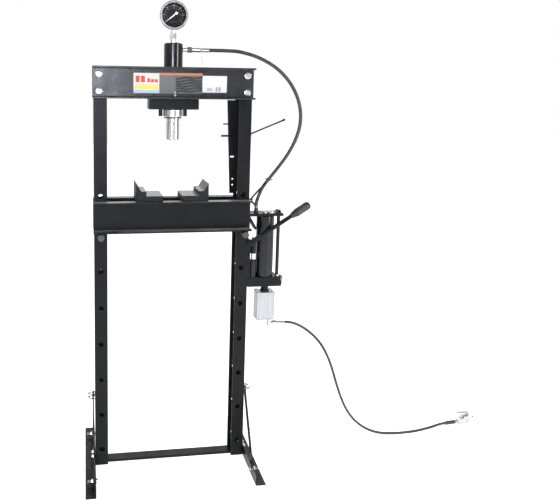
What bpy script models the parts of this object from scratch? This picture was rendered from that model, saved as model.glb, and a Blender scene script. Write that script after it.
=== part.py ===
"""Hydraulic shop press: H-frame, height-adjustable bed, air/hand pump and ram.

X runs from the left upright to the right one, Y from the front to the back, Z up.
The floor is Z = 0. All sizes are metres.
"""
import math

import bmesh
import bpy
from mathutils import Matrix, Vector

# ---------------------------------------------------------------- driving sizes
GAP = 0.0003                # clearance kept between touching pieces
ORIGIN_SHIFT = 0.1032       # the frame's middle stands this far left of the origin

# uprights: channels with their open side inwards
UPR_OUT = 0.300             # outer web face, from the middle
UPR_W = 0.050
UPR_D = 0.072
UPR_T = 0.005
UPR_TOP = 1.569
HOLE_X = 0.275
HOLE_Z0 = 0.0665
HOLE_PITCH = 0.1455
HOLE_COUNT = 8
HOLE_R = 0.011

# rolled channels of the head and of the bed, flanges turned outwards
CH_HALF_L = 0.303
CH_WEB = 0.006
CH_FLANGE = 0.007
CH_TIP = 0.076              # flange tip, from the middle plane
BEAM_BOT = 1.454
BEAM_TOP = 1.571
BEAM_BOLT_X = 0.279
BEAM_BOLT_Z = (1.479, 1.543)
BOLT_R = 0.008

# bed
PIN_R = 0.010
PIN_HOLE = 6                # counted from the lowest hole
PIN_Z = HOLE_Z0 + PIN_HOLE * HOLE_PITCH
BED_BOT = PIN_Z + PIN_R + GAP
BED_TOP = BED_BOT + 0.118
BED_IN = UPR_D / 2 + 0.0008
SPACER_X = 0.170
SPACER_Z = BED_BOT + 0.059

# feet and braces
FOOT_HALF_L = 0.2475
FOOT_W = 0.040
FOOT_H = 0.040
FOOT_T = 0.004
STUD_Y = 0.015
STUD_R = 0.005
FOOT_STUD_Z = 0.028
BRACE_TOP_Z = 0.280
BRACE_END_Y = 0.168
BRACE_END_Z = 0.020
BRACE_W = 0.020
BRACE_T = 0.005

# ram
BOLSTER_BOT = 1.414
BOLSTER_HALF_W = 0.094
BOLSTER_HALF_D = 0.040
BOLSTER_STUD_X = 0.047
CYL_R = 0.0355
CYL_TOP = 1.660
BORE_R = 0.0269
PISTON_R = 0.0265
PISTON_BOT = 1.298
PISTON_TOP = 1.618
COLLAR_R = 0.037
COLLAR_BOT = 1.3853
WIPER_BOT = 1.3803

# pressure gauge
GAUGE = Vector((-0.002, 0.0, 1.761))
GAUGE_R = 0.0535
DIAL_R = 0.0475

# pump
PLATE_X = (0.3005, 0.441)
TOP_PLATE_Z = (0.999, 1.0095)
BASE_Z = (0.714, 0.752)
TANK_X = 0.3765
TANK_R = 0.035
ROD_X = 0.431
CAP_Y = -0.019
BARREL = (0.324, -0.020)    # X and Y of the hand pump's axis
BARREL_R = 0.014
BARREL_TOP = 0.822
PLUNGER_R = 0.0065
PIVOT = Vector((0.3065, -0.045, 0.8955))
HANDLE_ANGLE = math.radians(33)
HANDLE_L = 0.1925
GRIP_L = 0.088
LEVER_ARM = 0.0209
FITTING_X = 0.338
FITTING_TOP = 1.030
MOTOR_X = (0.345, 0.419)
MOTOR_HALF_D = 0.030
MOTOR_Z = (0.573, 0.686)
MOTOR_PORT_X = 0.405
MOTOR_PORT_Z = 0.5485
AIR_EXIT_X = 0.470

# hoses
COUPLER_Z = 1.637
COUPLER_END = 0.1375
HYD_R = 0.00675
AIR_R = 0.0055
HYD_ROUTE = ((0.1378, 0, 1.637), (0.162, 0, 1.637), (0.199, 0, 1.6368), (0.256, 0, 1.6335),
             (0.322, 0, 1.6165), (0.382, 0, 1.588), (0.4275, 0, 1.554), (0.464, 0, 1.512),
             (0.491, -0.002, 1.461), (0.504, -0.004, 1.407), (0.503, -0.005, 1.352),
             (0.487, -0.005, 1.297), (0.459, -0.004, 1.242), (0.423, -0.002, 1.190),
             (0.388, 0, 1.145), (0.362, 0, 1.110), (0.346, 0, 1.074), (0.338, 0, 1.047),
             (0.338, 0, 1.0303))
AIR_ROUTE = ((0.4703, 0, 0.5485), (0.4860, 0, 0.5485), (0.5070, 0, 0.5440), (0.5300, 0, 0.5345),
             (0.5535, 0, 0.5210), (0.5789, 0, 0.5020), (0.6042, 0, 0.4790), (0.6260, 0, 0.4540),
             (0.6450, 0, 0.4262), (0.6612, 0, 0.3955), (0.6760, 0.001, 0.3625),
             (0.6905, 0.003, 0.3245), (0.7040, 0.005, 0.2840), (0.7187, 0.008, 0.2430),
             (0.7404, 0.014, 0.1910), (0.7720, 0.024, 0.1315), (0.8170, 0.036, 0.0740),
             (0.8720, 0.042, 0.0310), (0.9280, 0.039, 0.0100), (0.9800, 0.033, 0.0060),
             (1.0350, 0.031, 0.0058), (1.1020, 0.037, 0.0058), (1.1700, 0.0525, 0.0062),
             (1.2130, 0.0630, 0.0090), (1.2424, 0.0681, 0.0125), (1.2620, 0.07046, 0.0125))
VALVE_DIR = Vector((1.0, 0.12, 0.0)).normalized()
VALVE_START = Vector((1.2623, 0.0705, 0.0125))
VALVE_BODY_AT = 0.062       # from the hose end to the valve body

# ---------------------------------------------------------------- colours
BLACK = ("black_paint", (0.018, 0.018, 0.021), 0.38, 0.0)
STEEL = ("bright_steel", (0.62, 0.62, 0.63), 0.22, 1.0)
ZINC = ("zinc_plate", (0.66, 0.66, 0.64), 0.34, 1.0)
CAST = ("cast_grey", (0.16, 0.16, 0.165), 0.6, 0.3)
ALU = ("aluminium", (0.52, 0.53, 0.55), 0.4, 1.0)
RUBBER = ("black_rubber", (0.02, 0.02, 0.02), 0.7, 0.0)
DIAL = ("dial_black", (0.012, 0.012, 0.014), 0.5, 0.0)
WHITE = ("needle_white", (0.85, 0.85, 0.83), 0.5, 0.0)
GLASS = ("gauge_glass", (0.9, 0.95, 0.95), 0.05, 0.0)
PLASTIC = ("black_plastic", (0.02, 0.02, 0.02), 0.45, 0.0)
SPRING = ("spring_steel", (0.35, 0.35, 0.36), 0.35, 1.0)

X_AXIS, Y_AXIS, Z_AXIS = Vector((1, 0, 0)), Vector((0, 1, 0)), Vector((0, 0, 1))
# outline planes: local X, local Y and the direction it is extruded along
PLANE_XY = Matrix(((1, 0, 0), (0, 1, 0), (0, 0, 1)))
PLANE_YZ = Matrix(((0, 0, 1), (1, 0, 0), (0, 1, 0)))
PLANE_XZ = Matrix(((1, 0, 0), (0, 0, -1), (0, 1, 0)))


def clear_scene():
    for obj in list(bpy.data.objects):
        bpy.data.objects.remove(obj, do_unlink=True)


clear_scene()
parts = bpy.data.collections.new("hydraulic_shop_press")
cutters = bpy.data.collections.new("cutters")
bpy.context.scene.collection.children.link(parts)
bpy.context.scene.collection.children.link(cutters)
frame_origin = bpy.data.objects.new("press_frame", None)
frame_origin.location = (-ORIGIN_SHIFT, 0, 0)
parts.objects.link(frame_origin)
materials = {}


# ---------------------------------------------------------------- helpers
def material(spec):
    name, colour, roughness, metallic = spec
    if name not in materials:
        mat = bpy.data.materials.new(name)
        mat.use_nodes = True
        shader = mat.node_tree.nodes["Principled BSDF"]
        shader.inputs["Base Color"].default_value = (*colour, 1)
        shader.inputs["Roughness"].default_value = roughness
        shader.inputs["Metallic"].default_value = metallic
        materials[name] = mat
    return materials[name]


def add_object(name, mesh, spec, pivot=None):
    """A part in the press frame; its origin goes to pivot, where it turns or slides."""
    obj = bpy.data.objects.new(name, mesh)
    if pivot is not None:
        mesh.transform(Matrix.Translation(-Vector(pivot)))
        obj.location = pivot
    mesh.materials.clear()
    mesh.materials.append(material(spec))
    obj.parent = frame_origin
    parts.objects.link(obj)
    return obj


def mesh_from(bm, name):
    bmesh.ops.recalc_face_normals(bm, faces=bm.faces)
    mesh = bpy.data.meshes.new(name)
    bm.to_mesh(mesh)
    bm.free()
    return mesh


def smooth(mesh, angle=35):
    mesh.shade_smooth()
    mesh.set_sharp_from_angle(angle=math.radians(angle))


def bevel(obj, width, segments=1):
    mod = obj.modifiers.new("edge_bevel", "BEVEL")
    mod.width = width
    mod.segments = segments
    mod.limit_method = "ANGLE"
    mod.angle_limit = math.radians(50)
    return obj


def box(name, low, high, spec, pivot=None):
    low, high = Vector(low), Vector(high)
    bm = bmesh.new()
    place = Matrix.Translation((low + high) / 2) @ Matrix.Diagonal((*(high - low), 1))
    bmesh.ops.create_cube(bm, size=1, matrix=place)
    return add_object(name, mesh_from(bm, name), spec, pivot)


def add_cylinder(bm, start, end, radius, sides=24, turn=0.0):
    start, end = Vector(start), Vector(end)
    along = end - start
    rot = along.to_track_quat("Z", "Y").to_matrix().to_4x4()
    place = Matrix.Translation((start + end) / 2) @ rot @ Matrix.Rotation(turn, 4, "Z")
    bmesh.ops.create_cone(bm, cap_ends=True, segments=sides, radius1=radius, radius2=radius,
                          depth=along.length, matrix=place)


def cylinder(name, start, end, radius, spec, sides=24, pivot=None):
    bm = bmesh.new()
    add_cylinder(bm, start, end, radius, sides)
    mesh = mesh_from(bm, name)
    smooth(mesh)
    return add_object(name, mesh, spec, pivot)


def turned(name, profile, place, spec, steps=32, pivot=None):
    """A turned piece. The profile lists (radius, height), down its outer side from the top.

    place puts the profile's height axis, local Z, into the press frame.
    """
    bm = bmesh.new()
    points = [bm.verts.new((radius, 0, height)) for radius, height in profile]
    for first, second in zip(points, points[1:]):
        bm.edges.new((first, second))
    if profile[0][0] > 0 or profile[-1][0] > 0:
        bm.edges.new((points[-1], points[0]))
    outline = bpy.data.meshes.new(name)
    bm.to_mesh(outline)
    bm.free()
    blank = bpy.data.objects.new(name + "_profile", outline)
    cutters.objects.link(blank)
    mod = blank.modifiers.new("turn", "SCREW")
    mod.steps = mod.render_steps = steps
    mod.use_merge_vertices = True
    mod.merge_threshold = 0.00001
    mesh = evaluated_mesh(blank)
    bm = bmesh.new()
    bm.from_mesh(mesh)
    bmesh.ops.remove_doubles(bm, verts=bm.verts, dist=0.00001)
    mesh = mesh_from(bm, name)
    mesh.transform(place)
    smooth(mesh)
    return add_object(name, mesh, spec, pivot)


def evaluated_mesh(obj):
    """The object's evaluated mesh; the object is removed."""
    bpy.context.view_layer.update()
    graph = bpy.context.evaluated_depsgraph_get()
    mesh = bpy.data.meshes.new_from_object(obj.evaluated_get(graph))
    bpy.data.objects.remove(obj, do_unlink=True)
    return mesh


def outline_mesh(name, outline, plane, start, end):
    """A flat outline, extruded from start to end along its plane's normal."""
    curve = bpy.data.curves.new(name, "CURVE")
    curve.dimensions = "2D"
    curve.fill_mode = "BOTH"
    curve.extrude = abs(end - start) / 2
    spline = curve.splines.new("POLY")
    spline.points.add(len(outline) - 1)
    for point, (u, v) in zip(spline.points, outline):
        point.co = (u, v, 0, 1)
    spline.use_cyclic_u = True
    obj = bpy.data.objects.new(name + "_outline", curve)
    cutters.objects.link(obj)
    mesh = evaluated_mesh(obj)
    bm = bmesh.new()
    bm.from_mesh(mesh)
    bmesh.ops.remove_doubles(bm, verts=bm.verts, dist=0.00001)
    bmesh.ops.dissolve_limit(bm, angle_limit=0.01, verts=bm.verts, edges=bm.edges)
    mesh = mesh_from(bm, name)
    mesh.transform(plane.to_4x4() @ Matrix.Translation((0, 0, (start + end) / 2)))
    return mesh


def extruded(name, outline, plane, start, end, spec, pivot=None):
    return add_object(name, outline_mesh(name, outline, plane, start, end), spec, pivot)


def tube_mesh(name, points, radius, resolution=2):
    """A round bar or hose along points, with flat ends."""
    curve = bpy.data.curves.new(name, "CURVE")
    curve.dimensions = "3D"
    curve.bevel_depth = radius
    curve.bevel_resolution = resolution
    curve.use_fill_caps = True
    spline = curve.splines.new("POLY")
    spline.points.add(len(points) - 1)
    for point, where in zip(spline.points, points):
        point.co = (*where, 1)
    obj = bpy.data.objects.new(name + "_path", curve)
    cutters.objects.link(obj)
    mesh = evaluated_mesh(obj)
    bm = bmesh.new()
    bm.from_mesh(mesh)
    bmesh.ops.remove_doubles(bm, verts=bm.verts, dist=0.00001)
    mesh = mesh_from(bm, name)
    smooth(mesh)
    return mesh


def catmull_rom(points, spacing):
    """A smooth curve through the route's points, read every spacing metres or so."""
    pts = [Vector(p) for p in points]
    pts = [2 * pts[0] - pts[1]] + pts + [2 * pts[-1] - pts[-2]]
    result = []
    for a, b, c, d in zip(pts, pts[1:], pts[2:], pts[3:]):
        steps = max(1, round((c - b).length / spacing))
        for i in range(steps):
            t = i / steps
            result.append(0.5 * ((2 * b) + (c - a) * t + (2 * a - 5 * b + 4 * c - d) * t ** 2
                                 + (3 * b - a - 3 * c + d) * t ** 3))
    return result + [pts[-2]]


def boolean(obj, tool, operation):
    tool.hide_render = True
    tool.display_type = "WIRE"
    mod = obj.modifiers.new(operation.lower(), "BOOLEAN")
    mod.operation = operation
    mod.object = tool
    return obj


def add_tool(name, mesh):
    tool = bpy.data.objects.new(name, mesh)
    tool.parent = frame_origin
    cutters.objects.link(tool)
    return tool


def drill(obj, holes, sides=20):
    """Cuts round holes, each (start, end, radius), out of a part."""
    bm = bmesh.new()
    for start, end, radius in holes:
        add_cylinder(bm, start, end, radius, sides)
    name = obj.name + "_holes"
    return boolean(obj, add_tool(name, mesh_from(bm, name)), "DIFFERENCE")


def join(obj, *meshes):
    """Makes a part one body with the given meshes."""
    for number, mesh in enumerate(meshes):
        boolean(obj, add_tool(f"{obj.name}_joined_{number}", mesh), "UNION")
    return obj


def cylinder_mesh(name, start, end, radius, sides):
    bm = bmesh.new()
    add_cylinder(bm, start, end, radius, sides)
    mesh = mesh_from(bm, name)
    smooth(mesh)
    return mesh


def along(axis, start, end, *cross):
    """Two points that differ only along one axis, 0 for X, 1 for Y, 2 for Z."""
    first, second = list(cross), list(cross)
    first.insert(axis, start)
    second.insert(axis, end)
    return tuple(first), tuple(second)


def stepped_profile(*steps, bore=0.0):
    """The profile of a stepped shaft from (radius, top, bottom) steps, top first."""
    profile = [(bore, steps[0][1])]
    for radius, top, bottom in steps:
        profile += [(radius, top), (radius, bottom)]
    profile.append((bore, steps[-1][2]))
    return profile


def axis_place(axis, origin):
    """Puts local Z along an axis, at an origin."""
    return Matrix.Translation(origin) @ Vector(axis).to_track_quat("Z", "Y").to_matrix().to_4x4()


# ---------------------------------------------------------------- frame
def channel_outline(side, inner, low, high, tip=CH_TIP):
    """Section of a head or bed channel, in Y and Z. side is -1 in front, 1 behind."""
    web = inner + CH_WEB
    points = ((inner, low), (inner, high), (tip, high), (tip, high - CH_FLANGE),
              (web, high - CH_FLANGE), (web, low + CH_FLANGE), (tip, low + CH_FLANGE), (tip, low))
    return [(side * y, z) for y, z in points]


def make_upright(name, side):
    inner = UPR_OUT - UPR_W
    web = UPR_OUT - UPR_T
    half, lip = UPR_D / 2, UPR_D / 2 - UPR_T
    outline = [(side * x, y) for x, y in (
        (UPR_OUT, -half), (inner, -half), (inner, -lip), (web, -lip),
        (web, lip), (inner, lip), (inner, half), (UPR_OUT, half))]
    obj = bevel(extruded(name, outline, PLANE_XY, 0, UPR_TOP, BLACK), 0.0015, 2)
    holes = [(*along(1, -0.05, 0.05, side * HOLE_X, HOLE_Z0 + i * HOLE_PITCH), HOLE_R)
             for i in range(HOLE_COUNT)]
    holes += [(*along(1, -0.05, 0.05, side * BEAM_BOLT_X, z), BOLT_R + GAP) for z in BEAM_BOLT_Z]
    holes += [(*along(0, side * 0.285, side * 0.31, y, z), STUD_R + GAP)
              for z in (FOOT_STUD_Z, BRACE_TOP_Z) for y in (-STUD_Y, STUD_Y)]
    return drill(obj, holes, 16)


def make_channel(name, side, inner, low, high, bolt_holes=()):
    outline = channel_outline(side, inner, low, high)
    obj = bevel(extruded(name, outline, PLANE_YZ, -CH_HALF_L, CH_HALF_L, BLACK), 0.0015, 2)
    holes = [(*along(1, side * 0.03, side * 0.05, x, z), BOLT_R + GAP) for x, z in bolt_holes]
    return drill(obj, holes, 16) if holes else obj


def make_head():
    bolts = [(side * BEAM_BOLT_X, z) for side in (-1, 1) for z in BEAM_BOLT_Z]
    inner = UPR_D / 2 + GAP
    make_channel("front_beam", -1, inner, BEAM_BOT, BEAM_TOP, bolts)
    make_channel("rear_beam", 1, inner, BEAM_BOT, BEAM_TOP, bolts)
    face = inner + CH_WEB + GAP
    for number, (x, z) in enumerate(bolts, 1):
        head = cylinder(f"beam_bolt_{number}", *along(1, -face - 0.010, -face, x, z), 0.0138,
                        ZINC, 6)
        join(head,
             cylinder_mesh("shank", *along(1, -face - 0.005, face + 0.022, x, z), BOLT_R, 16),
             cylinder_mesh("nut", *along(1, face, face + 0.013, x, z), 0.0138, 6))


def make_crossbar():
    half, top, bottom, thick = 0.022, 0.0120, 0.0015, 0.004
    outline = ((-half, bottom), (-half, top), (half, top), (half, bottom),
               (half - thick, bottom), (half - thick, top - thick),
               (-half + thick, top - thick), (-half + thick, bottom))
    bevel(extruded("lower_crossbar", outline, PLANE_YZ, -0.2946, 0.2946, BLACK), 0.001)


def make_foot(name, side):
    inner = UPR_OUT + GAP
    outline = [(side * x, z) for x, z in (
        (inner, 0), (UPR_OUT + FOOT_W, 0), (UPR_OUT + FOOT_W, FOOT_T),
        (inner + FOOT_T, FOOT_T), (inner + FOOT_T, FOOT_H), (inner, FOOT_H))]
    obj = bevel(extruded(name, outline, PLANE_XZ, -FOOT_HALF_L, FOOT_HALF_L, BLACK), 0.001)
    places = [(way * y, z) for way in (-1, 1)
              for y, z in ((STUD_Y, FOOT_STUD_Z), (BRACE_END_Y, BRACE_END_Z))]
    return drill(obj, [(*along(0, side * 0.29, side * 0.31, y, z), STUD_R + GAP)
                       for y, z in places], 16)


def make_brace(name, side, way):
    """A flat bar with round ends, from an upright's web down to a foot. way is -1 in front."""
    top = Vector((way * STUD_Y, BRACE_TOP_Z))
    end = Vector((way * BRACE_END_Y, BRACE_END_Z))
    heading = math.atan2(*(end - top).yx)
    outline = []
    for centre, start in ((end, heading - math.pi / 2), (top, heading + math.pi / 2)):
        for i in range(9):
            angle = start + math.pi * i / 8
            outline.append(tuple(centre + BRACE_W / 2 * Vector((math.cos(angle), math.sin(angle)))))
    face = UPR_OUT + GAP + FOOT_T + GAP
    low, high = sorted((side * face, side * (face + BRACE_T)))
    obj = extruded(name, outline, PLANE_YZ, low, high, BLACK)
    return drill(obj, [(*along(0, low - 0.002, high + 0.002, *spot), STUD_R + GAP)
                       for spot in (tuple(top), tuple(end))], 16)


def make_frame():
    for word, side in (("left", -1), ("right", 1)):
        make_upright(f"{word}_upright", side)
        make_foot(f"{word}_foot", side)
        make_brace(f"{word}_front_brace", side, -1)
        make_brace(f"{word}_rear_brace", side, 1)
    make_head()
    make_crossbar()


# ---------------------------------------------------------------- bed
def make_bed():
    make_channel("bed_front_channel", -1, BED_IN, BED_BOT, BED_TOP)
    make_channel("bed_rear_channel", 1, BED_IN, BED_BOT, BED_TOP)
    for word, side in (("left", -1), ("right", 1)):
        ends = along(1, -BED_IN + GAP, BED_IN - GAP, side * SPACER_X, SPACER_Z)
        cylinder(f"bed_{word}_spacer", *ends, 0.014, BLACK, 20)
        x = side * HOLE_X
        turned(f"bed_{word}_pin",
               stepped_profile((0.0125, 0.011, 0.0), (PIN_R, 0.0, -0.169)),
               axis_place((0, -1, 0), (x, -CH_TIP - 0.008, PIN_Z)), ZINC, 20,
               (x, -CH_TIP, PIN_Z))


def block_outline(side, inner, length):
    """Side view of a press block, low towards the ram and stepped up at its outer end."""
    base = BED_TOP + GAP
    outer = inner + length
    low, step, peak = base + 0.022, base + 0.040, base + 0.070
    return [(side * x, z) for x, z in (
        (inner, base), (outer, base), (outer, peak), (outer - 0.019, step),
        (outer - 0.038, step), (outer - 0.038, low), (inner, low))]


def make_blocks():
    for word, side, inner in (("left", -1, 0.041), ("right", 1, 0.031)):
        outline = block_outline(side, inner, 0.102)
        bevel(extruded(f"{word}_press_block", outline, PLANE_XZ, -0.065, 0.065, CAST,
                       (side * (inner + 0.051), 0, BED_TOP + GAP)), 0.0015)


# ---------------------------------------------------------------- ram
def make_ram():
    bolster = box("ram_bolster", (-BOLSTER_HALF_W, -BOLSTER_HALF_D, BOLSTER_BOT),
                  (BOLSTER_HALF_W, BOLSTER_HALF_D, BEAM_BOT - GAP), BLACK)
    bevel(bolster, 0.002)
    drill(bolster, [(*along(2, 1.40, 1.46, 0, 0), CYL_R + GAP)], 48)
    join(bolster, *(cylinder_mesh("stud", *along(2, 1.388, 1.420, x, 0), 0.0075, 16)
                    for x in (-BOLSTER_STUD_X, BOLSTER_STUD_X)))
    down = Matrix.Identity(4)
    turned("ram_cylinder",
           [(0, CYL_TOP), (CYL_R - 0.003, CYL_TOP), (CYL_R, CYL_TOP - 0.003),
            (CYL_R, BOLSTER_BOT + GAP), (BORE_R, BOLSTER_BOT + GAP), (BORE_R, 1.640), (0, 1.640)],
           down, BLACK, 48)
    turned("ram_collar",
           [(COLLAR_R - 0.001, BOLSTER_BOT - GAP), (COLLAR_R, BOLSTER_BOT - 0.002),
            (COLLAR_R, COLLAR_BOT + 0.003), (COLLAR_R - 0.002, COLLAR_BOT), (BORE_R, COLLAR_BOT),
            (BORE_R, BOLSTER_BOT - GAP)], down, STEEL, 48)
    turned("ram_wiper",
           [(0.034, COLLAR_BOT - GAP), (0.033, WIPER_BOT), (BORE_R, WIPER_BOT),
            (BORE_R, COLLAR_BOT - GAP)], down, RUBBER, 48)
    turned("ram_piston",
           [(PISTON_R, PISTON_TOP), (PISTON_R, 1.368), (PISTON_R - 0.0008, 1.367),
            (PISTON_R - 0.0008, 1.365), (PISTON_R, 1.364), (PISTON_R, PISTON_BOT + 0.002),
            (PISTON_R - 0.002, PISTON_BOT), (0, PISTON_BOT), (0, 1.322), (0.019, 1.322),
            (0.019, PISTON_TOP)], down, STEEL, 40, (0, 0, PISTON_BOT))
    turns, points_per_turn, coil_r = 9, 9, 0.014
    top, low = 1.6385, 1.3265
    coil = [(coil_r * math.cos(2 * math.pi * i / points_per_turn),
             coil_r * math.sin(2 * math.pi * i / points_per_turn),
             top + (low - top) * i / (turns * points_per_turn))
            for i in range(turns * points_per_turn + 1)]
    add_object("return_spring", tube_mesh("return_spring", coil, 0.0013, 1), SPRING)


# ---------------------------------------------------------------- gauge
def make_gauge():
    face = axis_place((0, -1, 0), GAUGE)
    turned("gauge_case",
           [(0.0455, 0.026), (0.051, 0.026), (GAUGE_R, 0.0235), (GAUGE_R, 0.018), (0.050, 0.016),
            (0.050, -0.012), (0.048, -0.014), (0, -0.014), (0, -0.0125), (0.0485, -0.0125),
            (0.0485, 0.022), (0.0455, 0.022)], face, STEEL, 48)
    turned("gauge_lens", stepped_profile((0.0480, 0.0217, 0.0197)), face, GLASS, 48)
    turned("gauge_dial", stepped_profile((DIAL_R, 0.0105, 0.0095)), face, DIAL, 48)
    angle = math.radians(218)
    heading = Vector((math.cos(angle), math.sin(angle)))
    across = Vector((-heading.y, heading.x))
    centre = Vector((GAUGE.x, GAUGE.z))
    needle = [tuple(centre + heading * u + across * v) for u, v in
              ((-0.013, -0.0018), (-0.013, 0.0018), (0.036, 0.0004), (0.036, -0.0004))]
    obj = extruded("gauge_needle", needle, PLANE_XZ, 0.0140, 0.0148, WHITE, GAUGE)
    hub = cylinder_mesh("hub", *along(1, -0.0165, -0.0132, GAUGE.x, GAUGE.z), 0.004, 16)
    hub.transform(Matrix.Translation(-GAUGE))
    tool = add_tool("needle_hub", hub)
    tool.location = GAUGE
    boolean(obj, tool, "UNION")
    stem = turned("gauge_stem",
                  stepped_profile((0.0065, 1.7105, 1.699), (0.0105, 1.699, 1.675),
                                  (0.009, 1.675, CYL_TOP + GAP)),
                  Matrix.Translation((GAUGE.x, 0, 0)), STEEL, 24)
    join(stem, cylinder_mesh("hex", *along(2, 1.6765, 1.6975, GAUGE.x, 0), 0.0135, 6))


# ---------------------------------------------------------------- pump
def make_pump_body():
    plate = box("pump_top_plate", (PLATE_X[0], -0.034, TOP_PLATE_Z[0]),
                (PLATE_X[1], 0.034, TOP_PLATE_Z[1]), BLACK)
    bevel(plate, 0.0015)
    x0, x1 = PLATE_X
    low, high = BASE_Z
    outline = ((x0, low), (x1, low), (x1, high - 0.016), (x1 - 0.013, high), (x0, high))
    bevel(extruded("pump_base", outline, PLANE_XZ, -0.036, 0.036, BLACK), 0.0015)
    tank = (high + GAP, TOP_PLATE_Z[0] - GAP)
    turned("pump_reservoir",
           [(TANK_R - 0.002, tank[1]), (TANK_R, tank[1] - 0.002), (TANK_R, tank[0] + 0.002),
            (TANK_R - 0.002, tank[0]), (TANK_R - 0.004, tank[0]), (TANK_R - 0.004, tank[1])],
           Matrix.Translation((TANK_X, 0, 0)), BLACK, 40)
    cylinder("pump_tie_rod", *along(2, tank[0], tank[1], ROD_X, 0), 0.007, BLACK, 20)
    web = UPR_OUT + GAP
    top = TOP_PLATE_Z[0] - GAP
    strut = ((web, top), (web, 0.945), (web + 0.005, 0.945), (web + 0.005, 0.982),
             (0.3315, 0.9415), (0.3385, 0.9475), (0.3085, top))
    bevel(extruded("pump_bracket", strut, PLANE_XZ, -0.022, 0.022, BLACK), 0.001)
    plate_top = TOP_PLATE_Z[1] + GAP
    turned("filler_cap", stepped_profile((0.0125, plate_top + 0.007, plate_top)),
           Matrix.Translation((0.394, CAP_Y, 0)), STEEL, 24, (0.394, CAP_Y, plate_top))
    turned("breather_knob",
           stepped_profile((0.0055, plate_top + 0.016, plate_top + 0.004),
                           (0.003, plate_top + 0.004, plate_top)),
           Matrix.Translation((0.417, CAP_Y, 0)), PLASTIC, 20, (0.417, CAP_Y, plate_top))
    turned("release_knob",
           [(0, 0.011), (0.019, 0.011), (0.021, 0.009), (0.021, 0.002), (0.019, 0), (0, 0)],
           axis_place((1, 0, 0), (x1 + GAP, 0, 0.731)), STEEL, 32, (x1 + GAP, 0, 0.731))
    turned("hose_fitting",
           stepped_profile((0.0075, FITTING_TOP, FITTING_TOP - 0.009),
                           (0.0095, FITTING_TOP - 0.009, plate_top)),
           Matrix.Translation((FITTING_X, 0, 0)), BLACK, 20)


def lever_point(distance, rise=0.0):
    """A point along the handle's line, from its pivot, in X and Z."""
    heading = Vector((math.cos(HANDLE_ANGLE), math.sin(HANDLE_ANGLE)))
    across = Vector((-heading.y, heading.x))
    return tuple(Vector((PIVOT.x, PIVOT.z)) + heading * distance + across * rise)


def make_hand_pump():
    x, y = BARREL
    base = BASE_Z[1] + GAP
    turned("hand_pump_barrel",
           [(0.0085, BARREL_TOP), (BARREL_R - 0.002, BARREL_TOP), (BARREL_R, BARREL_TOP - 0.002),
            (BARREL_R, base), (0.0068, base), (0.0068, BARREL_TOP - 0.004),
            (0.0085, BARREL_TOP - 0.004)],
           Matrix.Translation((x, y, 0)), BLACK, 28)
    head_top = lever_point(LEVER_ARM)[1] - 0.005 - 0.0008
    turned("hand_pump_plunger",
           stepped_profile((0.0115, head_top, head_top - 0.053),
                           (PLUNGER_R, head_top - 0.053, base + 0.026)),
           Matrix.Translation((x, y, 0)), STEEL, 24, (x, y, head_top))
    web = UPR_OUT + GAP
    post = bevel(box("hand_pump_post", (web, -0.0370, base), (0.3095, -0.008, 0.9080), BLACK), 0.001)
    join(post,
         cylinder_mesh("pin_seat", *along(1, -0.0412, -0.0363, PIVOT.x, PIVOT.z), 0.0065, 20),
         cylinder_mesh("pin", *along(1, -0.0520, -0.020, PIVOT.x, PIVOT.z), 0.004, 20),
         cylinder_mesh("pin_head", *along(1, -0.0535, -0.0505, PIVOT.x, PIVOT.z), 0.0062, 20))
    cheek = []
    for centre, start in ((0.040, -90), (0.0, 90)):
        for i in range(9):
            angle = math.radians(start + 180 * i / 8)
            cheek.append(lever_point(centre + 0.0105 * math.cos(angle),
                                     0.0105 * math.sin(angle)))
    lever = extruded("pump_handle", cheek, PLANE_XZ, 0.0415, 0.0485, BLACK, PIVOT)
    ends = [Vector((lever_point(d)[0], PIVOT.y, lever_point(d)[1])) for d in (0.030, HANDLE_L)]
    boss = lever_point(LEVER_ARM)
    tools = (cylinder_mesh("rod", *ends, 0.0080, 20),
             cylinder_mesh("boss", *along(1, -0.046, -0.012, *boss), 0.005, 16))
    for number, mesh in enumerate(tools):
        mesh.transform(Matrix.Translation(-PIVOT))
        tool = add_tool(f"pump_handle_joined_{number}", mesh)
        tool.location = PIVOT
        boolean(lever, tool, "UNION")
    drill(lever, [(*along(1, -0.056, -0.030, PIVOT.x, PIVOT.z), 0.0043)], 20)
    heading = Vector((math.cos(HANDLE_ANGLE), 0, math.sin(HANDLE_ANGLE)))
    turned("handle_grip",
           [(0, GRIP_L), (0.0070, GRIP_L - 0.0008), (0.0125, GRIP_L - 0.0045),
            (0.0155, GRIP_L - 0.0105), (0.0165, GRIP_L - 0.018), (0.0165, 0.030),
            (0.0145, 0.012), (0.0098, 0), (0, 0)],
           axis_place(heading, PIVOT + heading * (HANDLE_L + GAP)), RUBBER, 24, PIVOT)


def make_air_motor():
    motor = box("air_motor", (MOTOR_X[0], -MOTOR_HALF_D, MOTOR_Z[0]),
                (MOTOR_X[1], MOTOR_HALF_D, MOTOR_Z[1]), ALU)
    bevel(motor, 0.003, 2)
    middle = (MOTOR_X[0] + MOTOR_X[1]) / 2
    ends = along(2, MOTOR_Z[1] - 0.005, BASE_Z[0] - GAP, middle, 0)
    join(motor, cylinder_mesh("neck", *ends, 0.015, 28))
    ends = along(2, MOTOR_PORT_Z - 0.0095, MOTOR_Z[0] - GAP, MOTOR_PORT_X, 0)
    join(cylinder("air_elbow", *ends, 0.0085, ZINC, 20),
         cylinder_mesh("arm", *along(0, MOTOR_PORT_X, AIR_EXIT_X, 0, MOTOR_PORT_Z), 0.0078, 20),
         cylinder_mesh("nut", *along(0, 0.418, 0.434, 0, MOTOR_PORT_Z), 0.0105, 6))


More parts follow.
